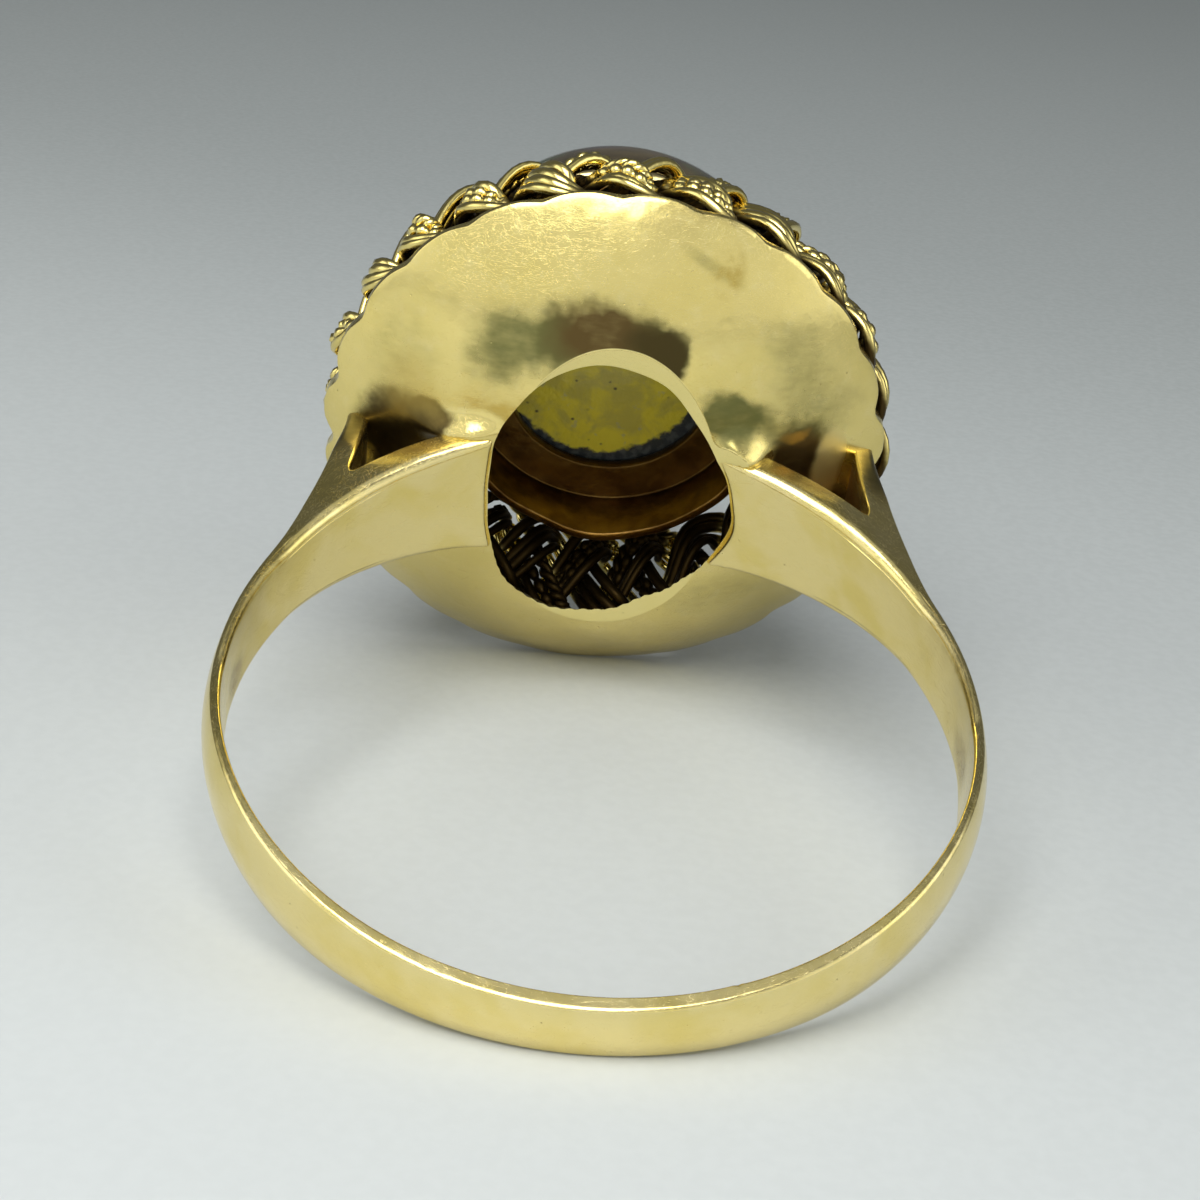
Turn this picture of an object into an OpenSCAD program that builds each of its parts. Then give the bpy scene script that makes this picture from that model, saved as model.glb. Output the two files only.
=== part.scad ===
// Gold ring with a high black opal cabochon in a plaited wire wreath.
// It lies on its side, as a ring does when it is put down: on two lobes of the head's rim
// and on the lower edge of the shank's back. +Z is up, and the head points to +Y.
// The origin is the centre of the finger hole.

/* [Finger hole and shank] */
// Radius of the finger hole
finger_r = 8.65; // [8.65]
// Half length of the finger hole's straight part; past it the hole opens a little
straight_half = 1.85; // [1.8:0.01:1.9]
// How much wider the finger hole is at the far ends of the ground strips under the cup
hole_flare = 0.04; // [0.02:0.01:0.06]
// Thickness of the band along its middle line
band_t = 0.45; // [0.4:0.05:0.5]
// Radius of the band's crowned outer face, across its width
band_crown_r = 2.5; // [2:0.1:4]
// Half width of the band at the back of the finger
back_half_w = 0.74; // [0.7:0.02:0.8]
// Half width of the band at the sides of the finger
side_half_w = 0.96; // [0.94:0.02:1]
// Half width of the band where it meets the hole under the head
head_half_w = 1.94; // [1.8:0.02:2]

/* [Forked shoulders] */
// Distance of a fork's outer branch from the middle plane, at the head
fork_x = 7.0; // [6.9:0.05:7.1]
// Height of the end of the fork's curved outline
fork_h = 9.6; // [9.4:0.1:9.8]
// Radius of the fork's inner branch, from the finger's centre
inner_branch_r = 9.5; // [9.4:0.05:9.6]
// Distance of the window's outer side from the middle plane, at its top
window_x = 6.46; // [6.4:0.02:6.5]

/* [Head] */
// Sideways place of the cup, off the middle of the finger hole
cup_x = -0.2; // [-0.2:0.05:0]
// Sideways place of the stone, its collet and the wreath
stone_x = -0.1; // [-0.15:0.05:0]

/* [Cup under the head] */
// Radius of the cup's domed underside
cup_r = 11.56; // [11.56]
// Height of the dome's centre above the finger's centre
cup_centre_h = 19.3; // [19.3]
// Thickness of the cup's sheet
cup_t = 0.34; // [0.3:0.02:0.4]
// Height of the cup's rim above the finger's centre
rim_h = 10.86; // [10.84:0.01:10.9]
// Number of lobes round the rim, three for each turn of a strand
rim_lobes = 24; // [24]
// Distance of a lobe's own centre from the cup's axis, across the finger
lobe_centre_x = 6.02; // [6:0.01:6.1]
// Distance of a lobe's own centre from the cup's axis, along the finger
lobe_centre_a = 6.25; // [6.2:0.01:6.3]
// Radius of a lobe
lobe_r = 1.6; // [1.55:0.01:1.62]
// Mean radius of the sawn hole
hole_r = 3.59; // [3.5:0.01:3.6]
// How much longer than round the hole is, at each end
hole_long = 0.43; // [0.4:0.01:0.45]
// How far the hole swells to one side
hole_lean = 0.14; // [0.1:0.01:0.15]
// How far the hole's corners stand out
hole_corner = 0.2; // [0.15:0.01:0.2]

/* [Collet] */
// Inner radius of the collet's tube
tube_r = 4.0; // [3.9:0.05:4.1]
// Height of the tube's free lower edge
tube_low_h = 11.95; // [11.8:0.05:12.1]
// Wall of the tube and of the bezel
collet_t = 0.27; // [0.25:0.01:0.3]
// Inner radius of the ledge that the stone sits on
ledge_r = 3.17; // [3.1:0.01:3.3]
// Height of the ledge's lower face
ledge_h = 13.55; // [13.5:0.05:13.6]
// Height of the ledge's upper face
ledge_top_h = 13.89; // [13.85:0.01:13.9]

/* [Opal] */
// Height of the opal's flat back
opal_back_h = 13.95; // [13.95]
// Height of the opal's girdle
girdle_h = 15.3; // [15.2:0.05:15.4]
// Radius of the opal at its girdle
girdle_r = 5.5; // [5.4:0.05:5.5]
// Radius of the opal's flat back
opal_back_r = 4.4; // [4.3:0.05:4.4]
// Height of the dome above the girdle
dome_h = 6.8; // [6.4:0.1:7]
// Radius of the dome's crown
crown_r = 4.6; // [4.4:0.1:4.7]
// Gap between the stone and its bezel
stone_gap = 0.06; // [0.05:0.01:0.08]

/* [Plaited wreath] */
// Radius of the wreath's middle line
plait_r = 6.77; // [6.75:0.01:6.8]
// Height of the wreath's middle line
plait_h = 13.22; // [13.2:0.01:13.3]
// Slope of the wreath's width, from level
plait_slope = 111; // [110:112]
// How far the wreath leans to one side
wreath_tilt = 1.7; // [0:0.1:1.7]
// Turns of each strand round the head
plait_turns = 8; // [8]
// How far a strand swings to each side of the middle line
swing = 1.45; // [1.4:0.01:1.5]
// How far a strand rises and sinks where it crosses another
weave = 0.44; // [0.42:0.01:0.48]
// Greatest tilt of a strand to its side, where it dives under or climbs over another
bank = 40; // [35:45]
// Width of a strand
strand_w = 1.0; // [0.9:0.01:1]
// Thickness of a strand
strand_t = 0.44; // [0.38:0.01:0.44]

/* [Hidden] */
$fn = 96;
steps = 12;         // pieces of a curved outline
hole_steps = 60;    // corners of the sawn hole
strand_sides = 10;  // sides of a strand's section
strand_rings = 28;  // sections in one turn of a strand
far = 30;           // a length that reaches past the ring on every side
gold = [0.84, 0.74, 0.42];
old_gold = [0.45, 0.33, 0.16];
opal_black = [0.14, 0.12, 0.11];

band_r = finger_r + band_t;
// Radius of the band's outer edge corner, a given way off the middle plane
function band_edge_r(a) = band_r - band_crown_r + sqrt(pow(band_crown_r, 2) - a * a);
cheek_r = band_edge_r(side_half_w);
// The lowest points of the rim: the two lobes on each side of the middle plane
lobe_turn = 180 / rim_lobes;
rim_low = lobe_centre_a * cos(lobe_turn) + lobe_r;
rim_low_r = norm([lobe_centre_x * sin(lobe_turn), rim_low]);
rim_low_h = cup_centre_h - sqrt(pow(cup_r, 2) - pow(rim_low_r, 2));
// The angle at which both touch the surface that the ring lies on
lie_angle = atan2(rim_low - back_half_w, rim_low_h + band_edge_r(back_half_w));

// A point on a curve with two end points and two handles
function bezier(p, t) = pow(1 - t, 3) * p[0] + 3 * t * pow(1 - t, 2) * p[1]
    + 3 * t * t * (1 - t) * p[2] + pow(t, 3) * p[3];
function bezier_line(p) = [for (i = [0:steps]) bezier(p, i / steps)];

// Everything is built with the head's axis along Y and the finger along Z, then laid down
module laid() rotate([lie_angle, 0, 0]) children();
// Turns a shape made round Z so that it stands round the head's axis, off to one side
module on_head(x) translate([x, 0, 0]) rotate([-90, 0, 0]) children();
module both_sides() {
    children();
    mirror([1, 0, 0]) children();
}

// The band seen from the side of the finger: half width by height, for the lower half
module band_side_outline() {
    edge = bezier_line([[0, side_half_w], [-3.5, 1.28], [-6.5, 1.0], [-finger_r - 0.65, back_half_w - 0.02]]);
    corners = concat(edge, [for (i = [steps:-1:0]) [edge[i][0], -edge[i][1]]]);
    rotate([90, 0, 90]) linear_extrude(height = far, center = true) polygon(corners);
}

// The band seen from the head: half width by distance from the middle, for the upper half
module band_top_outline() {
    edge = bezier_line([[finger_r - 0.05, side_half_w], [7.9, 1.1], [5.2, 1.65], [2.9, head_half_w]]);
    right = concat([[band_r + 1, side_half_w]], edge, [[0, head_half_w + 0.04]]);
    last = len(right) - 1;
    corners = concat(right, [for (i = [last:-1:0]) [right[i][0], -right[i][1]]]);
    translate([0, far / 2, 0]) rotate([90, 0, 0]) linear_extrude(height = far, center = true)
        both_sides() polygon(corners);
}

// The plain ring, crowned outside
module crowned_band() {
    rotate_extrude() intersection() {
        translate([finger_r - 0.4, -far / 2]) square([band_t + 0.4, far]);
        translate([band_r - band_crown_r, 0]) circle(r = band_crown_r);
    }
}

// One shoulder, seen along the finger: it flares from the band and forks round a window
module shoulder_outline() {
    outer = bezier_line([[cheek_r - 0.06, -0.6], [cheek_r, 3.2], [fork_x + 0.35, 5.2], [fork_x, fork_h]]);
    difference() {
        polygon(concat([[0, -0.6]], outer, [[fork_x - 0.1, rim_h], [0, rim_h]]));
        difference() {
            polygon([[window_x + 0.28, 6.7], [window_x + 0.18, 7.5], [window_x + 0.05, 8.4],
                [window_x, 9.2], [window_x, rim_h + 1], [0, rim_h + 1], [0, 6.7]]);
            circle(r = inner_branch_r);
        }
    }
}

module shoulders() linear_extrude(height = 6, center = true) both_sides() shoulder_outline();

// The band and the shoulders, as wide as the two outlines allow
module shank() intersection() {
    union() {
        crowned_band();
        shoulders();
    }
    union() {
        band_side_outline();
        band_top_outline();
    }
}

// The fluted outline of the rim, pulled in by a given distance
module rim_outline(inset) {
    circle(r = lobe_centre_x + 0.5);
    for (i = [0:rim_lobes - 1]) let (f = (i + 0.5) * 360 / rim_lobes)
        translate([lobe_centre_x * cos(f), lobe_centre_a * sin(f)]) circle(r = lobe_r - inset);
}

// The domed, fluted body of the cup, pulled in by a given distance and cut off at a height
module cup_body(inset, top) on_head(cup_x) intersection() {
    linear_extrude(height = top) rim_outline(inset);
    translate([0, 0, cup_centre_h]) sphere(r = cup_r - inset);
}

// The sawn hole: an oval with soft corners and the small waves of a hand-cut edge
function hole_edge(f) = hole_r - hole_long * cos(2 * f) - hole_lean * cos(f + 15) + hole_corner * cos(3 * f)
    + 0.07 * cos(4 * f - 45) + 0.02 * sin(9 * f) + 0.015 * sin(14 * f);
module sawn_hole() on_head(0) linear_extrude(height = far / 2)
    polygon([for (i = [0:hole_steps - 1]) let (f = i * 360 / hole_steps) hole_edge(f) * [cos(f), sin(f)]]);

// The finger hole: straight under the band, and a little wider where it is ground out of the cup
module finger_hole() {
    cylinder(r = finger_r, h = 2 * straight_half, center = true);
    for (end = [0, 1]) mirror([0, 0, end]) translate([0, 0, straight_half])
        cylinder(r1 = finger_r, r2 = finger_r + hole_flare, h = lobe_centre_a - straight_half);
}

module ring_mount() color(gold) laid() difference() {
    union() {
        shank();
        cup_body(0, rim_h);
    }
    cup_body(cup_t, rim_h + 1);
    finger_hole();
    sawn_hole();
}

// The collet: a tube that hangs free below a ledge, and a bezel that opens above it
module collet() color(old_gold) laid() on_head(stone_x) rotate_extrude()
    polygon([[tube_r, tube_low_h], [tube_r + collet_t, tube_low_h], [tube_r + collet_t, ledge_h - 0.2],
        [girdle_r + stone_gap + collet_t, girdle_h], [girdle_r + stone_gap + collet_t - 0.06, girdle_h + 0.18],
        [girdle_r + stone_gap, girdle_h + 0.18], [girdle_r + stone_gap, girdle_h],
        [opal_back_r + stone_gap, ledge_top_h], [ledge_r, ledge_top_h], [ledge_r, ledge_h], [tube_r, ledge_h]]);

// The opal: a flat back, a tapered skirt and a high dome made of two arcs that meet smoothly
module opal() {
    crown_h = dome_h - crown_r;
    flank_r = (pow(girdle_r, 2) + pow(crown_h, 2) - pow(crown_r, 2)) / (2 * (girdle_r - crown_r));
    flank_x = girdle_r - flank_r;
    join = [-flank_x, crown_h] / norm([flank_x, crown_h]) * 3 * crown_r;
    color(opal_black) laid() on_head(stone_x) rotate_extrude() {
        polygon([[0, opal_back_h], [opal_back_r, opal_back_h], [girdle_r, girdle_h], [0, girdle_h]]);
        translate([0, girdle_h]) {
            intersection() {
                translate([flank_x, 0]) circle(r = flank_r);
                polygon([[0, 0], [0, crown_h], [join[0], crown_h + join[1]], [3 * crown_r, 0]]);
            }
            intersection() {
                translate([0, crown_h]) circle(r = crown_r);
                polygon([[0, crown_h], [join[0], crown_h + join[1]], [0, 4 * crown_r]]);
            }
        }
    }
}

// The wreath sits a little askew
module askew() translate([stone_x, plait_h, 0]) rotate([0, 0, wreath_tilt]) translate([0, -plait_h, 0]) children();

// Each strand swings across the slope and weaves over and under the other two.
// The point and the sections below are at an angle f round the head's axis.
function across() = [cos(plait_slope), sin(plait_slope)];
function outward() = [sin(plait_slope), -cos(plait_slope)];
function on_slope(f, swung, raised) = let (q = [plait_r, plait_h] + swung * across() + raised * outward())
    [q[0] * cos(f), q[0] * sin(f), q[1]];
function strand_point(f, lead) = let (t = plait_turns * f + lead)
    on_slope(f, swing * sin(t), weave * sin(2 * t));
function unit(v) = v / norm(v);
function strand_section(f, lead) = let (
        here = strand_point(f, lead),
        along = unit(strand_point(f + 0.1, lead) - strand_point(f - 0.1, lead)),
        out = [outward()[0] * cos(f), outward()[0] * sin(f), outward()[1]],
        tilt = bank * pow(cos(plait_turns * f + lead), 2),
        face = cos(tilt) * out + sin(tilt) * [sin(f), -cos(f), 0],
        up = unit(face - (face * along) * along),
        side = cross(along, up))
    [for (k = [0:strand_sides - 1]) let (g = (k + 0.5) * 360 / strand_sides)
        here + side * strand_w / 2 * sign(cos(g)) * pow(abs(cos(g)), 0.7)
             + up * strand_t / 2 * sign(sin(g)) * pow(abs(sin(g)), 0.7)];

module strand(lead) {
    rings = plait_turns * strand_rings;
    points = [for (i = [0:rings - 1]) each strand_section(i * 360 / rings, lead)];
    function at(i, k) = (i % rings) * strand_sides + k % strand_sides;
    faces = [for (i = [0:rings - 1], k = [0:strand_sides - 1])
        each [[at(i, k), at(i + 1, k + 1), at(i + 1, k)], [at(i, k), at(i, k + 1), at(i + 1, k + 1)]]];
    color(gold) laid() askew() on_head(0) polyhedron(points, faces);
}

module braid_strand_1() strand(0);
module braid_strand_2() strand(120);
module braid_strand_3() strand(240);

ring_mount();
collet();
opal();
braid_strand_1();
braid_strand_2();
braid_strand_3();
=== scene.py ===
# %% [markdown]
# # A gold ring with a black opal, lying on its side
# The ring has a thin band that forks at both shoulders, a domed cup with a hand-sawn hole, a dark inner
# collet, a high opal and a wreath of plaited wires. The frame file gives the plain solids in the right
# places. Each step below makes one real piece with more detail, and the last steps give them their finish.

# %% Load the frame
import math

import bpy
import numpy as np
from mathutils import Matrix, Vector


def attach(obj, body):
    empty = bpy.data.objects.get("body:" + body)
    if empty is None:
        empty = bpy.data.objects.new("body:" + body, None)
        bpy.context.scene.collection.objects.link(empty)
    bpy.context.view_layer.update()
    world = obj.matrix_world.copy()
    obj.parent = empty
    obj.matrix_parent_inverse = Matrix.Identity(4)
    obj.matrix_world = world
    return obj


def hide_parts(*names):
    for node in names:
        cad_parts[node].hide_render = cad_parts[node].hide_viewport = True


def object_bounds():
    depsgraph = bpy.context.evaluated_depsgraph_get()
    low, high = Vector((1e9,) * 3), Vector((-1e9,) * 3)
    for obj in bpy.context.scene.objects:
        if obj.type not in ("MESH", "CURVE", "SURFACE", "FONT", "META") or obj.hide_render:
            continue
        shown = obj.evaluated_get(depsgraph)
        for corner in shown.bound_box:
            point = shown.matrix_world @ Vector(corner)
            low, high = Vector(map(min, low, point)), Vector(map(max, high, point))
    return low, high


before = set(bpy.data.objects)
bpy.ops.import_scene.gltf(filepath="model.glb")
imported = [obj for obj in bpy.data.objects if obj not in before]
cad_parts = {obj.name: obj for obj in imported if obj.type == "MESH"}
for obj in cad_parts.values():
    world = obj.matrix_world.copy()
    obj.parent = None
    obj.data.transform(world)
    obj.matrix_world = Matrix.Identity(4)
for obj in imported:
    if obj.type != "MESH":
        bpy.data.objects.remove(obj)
cad_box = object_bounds()
print("nodes:", sorted(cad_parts))

# %% [markdown]
# ## Working upright and large
# Jewellery is tiny, so every piece is modelled at 1 unit to the millimetre, with the ring standing upright:
# the finger runs along Z, the head points to Y. One helper then makes the piece 1000 times smaller and lays
# it down at the angle at which the ring rests on two lobes of its rim and on the back of its band.

# %% Helpers for modelling
LIE = math.radians(19.6255)      # the angle at which the ring lies
UPRIGHT = LIE                    # for pieces modelled round the finger
ON_HEAD = LIE - math.pi / 2      # for pieces modelled round the head's axis, which then points up


def nothing_selected():
    """Leaves edit mode and deselects every object."""
    if bpy.context.object and bpy.context.object.mode != "OBJECT":
        bpy.ops.object.mode_set(mode="OBJECT")
    bpy.ops.object.select_all(action="DESELECT")


def pick(*pieces):
    """Selects these objects alone and makes the first one active."""
    nothing_selected()
    for piece in pieces:
        piece.select_set(True)
    bpy.context.view_layer.objects.active = pieces[0]


def points(piece):
    """The vertices as an array, one row for each."""
    co = np.empty(len(piece.data.vertices) * 3)
    piece.data.vertices.foreach_get("co", co)
    return co.reshape(-1, 3)


def move_points(piece, co):
    """Puts every vertex at its new place."""
    piece.data.vertices.foreach_set("co", np.asarray(co, float).ravel())
    piece.data.update()


def progress(value, start, length):
    """How far a value has come along a stretch, from 0 to 1."""
    return np.clip((value - start) / length, 0, 1)


def in_edit(piece, *steps):
    """Runs edit-mode steps on the whole piece."""
    pick(piece)
    bpy.ops.object.mode_set(mode="EDIT")
    bpy.ops.mesh.select_all(action="SELECT")
    for step in steps:
        step()
    bpy.ops.object.mode_set(mode="OBJECT")


def merge(distance=0.0005):
    bpy.ops.mesh.remove_doubles(threshold=distance)


def face_out():
    bpy.ops.mesh.normals_make_consistent(inside=False)


def with_modifier(piece, kind, **settings):
    """Adds a modifier, sets it and applies it."""
    pick(piece)
    modifier = piece.modifiers.new(kind.lower(), kind)
    for name, value in settings.items():
        setattr(modifier, name, value)
    bpy.ops.object.modifier_apply(modifier=modifier.name)


def soften_by_weight(piece, width, weigh, degrees, segments, clamp=True):
    """Bevels the sharp edges, each by its own share of the width, from its place and its direction."""
    pick(piece)
    bpy.ops.object.mode_set(mode="EDIT")
    bpy.ops.mesh.select_mode(type="EDGE")
    bpy.ops.mesh.select_all(action="DESELECT")
    bpy.ops.mesh.edges_select_sharp(sharpness=math.radians(degrees))
    bpy.ops.object.mode_set(mode="OBJECT")
    co = points(piece)
    mesh = piece.data
    sharp = np.empty(len(mesh.edges), bool)
    mesh.edges.foreach_get("select", sharp)
    ends = np.empty(len(mesh.edges) * 2, int)
    mesh.edges.foreach_get("vertices", ends)
    ends = co[ends.reshape(-1, 2)]
    run = ends[:, 1] - ends[:, 0]
    run /= np.linalg.norm(run, axis=1)[:, None] + 1e-9
    weights = mesh.attributes.new("bevel_weight_edge", "FLOAT", "EDGE")
    weights.data.foreach_set("value", np.where(sharp, weigh(ends.mean(1), run), 0))
    with_modifier(piece, "BEVEL", width=width, segments=segments, limit_method="WEIGHT", use_clamp_overlap=clamp)


def lay_down(piece, turn, shift=(0, 0, 0)):
    """Makes a finished piece real size and lays it down, with its place in its mesh."""
    pick(piece)
    piece.location = (0, 0, 0)
    move_points(piece, points(piece) + np.array(shift))
    piece.scale = (0.001, 0.001, 0.001)
    piece.rotation_euler = (turn, 0, 0)
    bpy.ops.object.transform_apply(location=True, rotation=True, scale=True)
    bpy.ops.object.shade_smooth()
    low, high = points(piece).min(0) * 1000, points(piece).max(0) * 1000
    print(f"{piece.name}: {len(piece.data.polygons)} faces, {np.round(low, 2)} to {np.round(high, 2)} mm")
    return piece


# %% [markdown]
# ## Curves that several pieces share
# The band, its forks and the cup meet each other, so their main curves are set down once. A goldsmith would
# draw the same lines on the sheet before sawing.

# %% The ring's main curves
FINGER_R = 8.65
BAND_R = 9.1             # to the crown of the band's outer face
CROWN_R = 2.5            # the crown's own radius, across the band
BRANCH_R = 9.7           # outer face of a fork's inner branch
CUP_X, STONE_X = -0.2, -0.1
CUP_R, CUP_CENTRE, CUP_T = 11.56, 19.3, 0.34
RIM_H = 10.86
BORE_STRAIGHT = 1.85     # the finger hole is straight as far as this from its middle
BORE_FLARE = 0.009       # and then opens by this slope


def bezier(corners, count=40):
    """Points on a curve with two ends and two handles."""
    t = np.linspace(0, 1, count)[:, None]
    p = np.array(corners, float)
    return (1 - t) ** 3 * p[0] + 3 * t * (1 - t) ** 2 * p[1] + 3 * t * t * (1 - t) * p[2] + t ** 3 * p[3]


side_width = bezier([(0, 0.96), (3.5, 1.28), (6.5, 1.0), (9.3, 0.72)])
top_width = bezier([(8.6, 0.96), (7.9, 1.1), (5.2, 1.65), (2.9, 1.94)])[::-1]
shoulder = np.vstack([bezier([(8.85, -0.6), (8.91, 3.2), (7.4, 5.2), (7.16, 9.4)]), [(7.1, RIM_H)]])
window = np.array([(6.66, 7.05), (6.58, 7.6), (6.5, 8.4), (6.46, 9.2), (6.46, RIM_H)])


def half_width(x, h):
    """Half the band's width at a place seen along the finger."""
    below = np.interp(np.abs(h), side_width[:, 0], side_width[:, 1])
    above = np.interp(np.abs(x), top_width[:, 0], top_width[:, 1])
    # the wider of the two, with a little blend where they meet at the sides
    blend = 0.012 * np.clip(h / 3, 0, 1) * np.clip(4 - h, 0, 1)
    return np.where(h > 0, 0.5 * (below + above + np.sqrt((below - above) ** 2 + blend)), below)


def hole_radius(f):
    """The sawn hole, at an angle in radians round the head's axis. Its lower edge keeps the saw's burrs."""
    burrs = 0.045 * np.sin(27 * f + 1.0) * np.sin(43 * f) * np.clip(1.5 * np.sin(f) - 0.45, 0, 1)
    return (3.59 - 0.43 * np.cos(2 * f) - 0.14 * np.cos(f + math.radians(15)) + 0.2 * np.cos(3 * f)
            + 0.07 * np.cos(4 * f - math.radians(45)) + 0.02 * np.sin(9 * f) + 0.015 * np.sin(14 * f) - burrs)


around = np.radians(np.linspace(-70, 70, 141))
hole_right = np.array([-np.sin(around), np.cos(around)]) * hole_radius(around)
hole_left = np.array([-np.sin(around + math.pi), np.cos(around + math.pi)]) * hole_radius(around + math.pi)


def hole_x(a, side):
    """How far the hole's edge is from the middle plane, at a place along the finger."""
    right = np.interp(a, hole_right[0][::-1], hole_right[1][::-1])
    left = -np.interp(a, hole_left[0], hole_left[1])
    return np.where(side > 0, right, left)


def dome(rho, radius):
    """Height of a dome round the cup's centre, at a distance from the cup's axis."""
    return CUP_CENTRE - np.sqrt(np.maximum(radius ** 2 - rho ** 2, 0))


print("hole:", round(float(hole_x(0, 1)), 2), "mm right of the middle and", round(float(hole_x(0, -1)), 2), "left")

# %% [markdown]
# ## The band and its forked shoulders
# The band is one strip of metal that thickens at the shoulders and is sawn into two branches on each side. It
# could be spun from a section, but a spun ring can't fork. So it is built like the real one: a flat bar of
# faces with its end split in two, extruded across the width of the finger, mirrored, and then bent round.

# %% Model the split bar
SPLIT = 1.0        # the bar's length up to the fork, in its own units
BRANCH = 0.36      # and the length of a branch
LAYERS = 10        # steps across the band's width


def bar_part(name, start, end, low, high, rows, columns):
    """A flat grid of faces between two places along and across the bar."""
    bpy.ops.mesh.primitive_grid_add(x_subdivisions=rows, y_subdivisions=columns, size=1,
                                    location=((start + end) / 2, (low + high) / 2, -1))
    part = bpy.context.object
    part.name = name
    part.scale = (end - start, high - low, 1)
    bpy.ops.object.transform_apply(location=True, rotation=False, scale=True)
    return part


nothing_selected()
bar = bar_part("band_with_forks", 0, SPLIT, 0, 2, 76, 2)
inner_branch = bar_part("inner_branch", SPLIT, SPLIT + BRANCH, 0, 1, 22, 1)
outer_branch = bar_part("outer_branch", SPLIT, SPLIT + BRANCH, 1, 2, 16, 1)
co = points(outer_branch)
co[(co[:, 0] > SPLIT + 0.001) & (co[:, 1] < 1.5), 1] = 1.2
move_points(outer_branch, co)
pick(bar, inner_branch, outer_branch)
bpy.ops.object.join()


def extrude_across():
    for _ in range(LAYERS):
        bpy.ops.mesh.extrude_region_move(TRANSFORM_OT_translate={"value": (0, 0, 2 / LAYERS)})


def open_the_middle():
    """Takes away the end faces that would stand between the two halves."""
    bpy.ops.mesh.select_mode(type="FACE")
    bpy.ops.object.mode_set(mode="OBJECT")
    bar.data.polygons.foreach_set("select", [abs(face.center.x) < 0.001 for face in bar.data.polygons])
    bpy.ops.object.mode_set(mode="EDIT")
    bpy.ops.mesh.delete(type="FACE")


in_edit(bar, merge, extrude_across, merge, open_the_middle)
with_modifier(bar, "MIRROR", use_axis=(True, False, False), merge_threshold=0.0005)
print("bar:", len(bar.data.vertices), "vertices")

# %% Bend the bar into the ring
contour_turn = np.degrees(np.arctan2(shoulder[:, 0], -shoulder[:, 1]))
contour_r = np.hypot(shoulder[:, 0], shoulder[:, 1])
SPLIT_TURN = math.degrees(math.atan2(window[0][0], -window[0][1]))
split_out = float(np.interp(SPLIT_TURN, contour_turn, contour_r))
THICKER_FROM = 95            # degrees from the back, where the fork's split starts to move outwards
IN_SHEET = CUP_R - 0.2       # radius of a dome inside the cup's sheet, where the branches end


def outer_r(turn):
    """Radius of the band's outline at an angle from the back of the finger."""
    over = np.interp(turn, contour_turn, contour_r) - BAND_R
    return BAND_R + 0.5 * (over + np.sqrt(over ** 2 + 0.05)) - 0.044


def crown_drop(a, radius=CROWN_R):
    """How far a crowned face falls away at a distance from its middle."""
    return radius - np.sqrt(np.maximum(radius ** 2 - a ** 2, 0))


# %% Places on the bent band and on its branches


def turned(r, turn):
    """The x and the height of a place at an angle from the back of the finger."""
    return r * np.sin(np.radians(turn)), -r * np.cos(np.radians(turn))


def band_places(along, across, layer):
    """The band, as far as the forks."""
    turn = SPLIT_TURN * np.minimum(along, SPLIT) / SPLIT
    outer = outer_r(turn)
    to_fork = progress(turn, THICKER_FROM, SPLIT_TURN - THICKER_FROM)
    share = 0.5 + ((BRANCH_R - FINGER_R) / (split_out - FINGER_R) - 0.5) * to_fork
    middle = FINGER_R + (outer - FINGER_R) * share
    r = np.where(across < 1, FINGER_R + (middle - FINGER_R) * across, middle + (outer - middle) * (across - 1))
    x, h = turned(r, turn)
    a = layer * half_width(x, h)
    # the crown is flatter toward the head
    drop = crown_drop(a) * (1 - 0.72 * progress(h, 0, 6)) * np.clip(across, 0, 2) / 2
    return *turned(r - drop, turn), a


def inner_branch_places(s, across, layer, side):
    """A fork's inner branch, as far as the edge of the sawn hole. It ends inside the cup's sheet."""
    r = FINGER_R + (BRANCH_R - FINGER_R) * np.clip(across, 0, 1)
    # its width comes from a first guess of its course, and its end stops just short of the sawn edge
    rough_turn = SPLIT_TURN + (156 - SPLIT_TURN) * s
    a = layer * half_width(r * np.sin(np.radians(rough_turn)), np.full_like(r, 8.0))
    end_x = np.abs(hole_x(a, side)) + 0.012
    end_turn = 180 - np.degrees(np.arcsin(np.clip(end_x / r, 0, 1)))
    drop = crown_drop(a, 5.0) * np.clip(across, 0, 1) * 0.5
    x, h = turned(r - drop, SPLIT_TURN + (end_turn - SPLIT_TURN) * s)
    from_centre = np.stack([side * x - CUP_X, h - CUP_CENTRE, a], 1)
    far = np.linalg.norm(from_centre, axis=1)
    from_centre *= np.where(far < IN_SHEET, IN_SHEET / far, 1)[:, None]
    return side * (from_centre[:, 0] + CUP_X), from_centre[:, 1] + CUP_CENTRE, from_centre[:, 2]


def outer_branch_places(s, across, layer, side):
    """A fork's outer branch, as far as the inside of the cup's sheet. Its tip is narrower and rounder."""
    outer_face = across > 1.6
    start_h = np.where(outer_face, split_out * -math.cos(math.radians(SPLIT_TURN)), window[0][1])
    x, h = np.full_like(s, 6.9), np.full_like(s, 8.0)
    # width, end and place hang on each other, so a first guess is made better four times
    for _ in range(4):
        a = layer * half_width(x, h)
        top = dome(np.hypot(side * x - CUP_X, a), IN_SHEET)
        h = start_h + (top - start_h) * s
        x = np.where(outer_face, np.interp(h, shoulder[:, 1], shoulder[:, 0]),
                     np.interp(h, window[:, 1], window[:, 0]))
    a = a * (1 - np.where(side < 0, 0.27, 0.17) * progress(s, 0.25, 0.65) ** 1.3)
    rounder = np.clip(s / 0.7, 0, 1) ** 1.2
    drop = crown_drop(a) * 0.28 * (1 - rounder) + crown_drop(a, 2.6) * 0.75 * rounder
    return np.where(outer_face, x - drop, x), h, a


# %% Bend the bar


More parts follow.
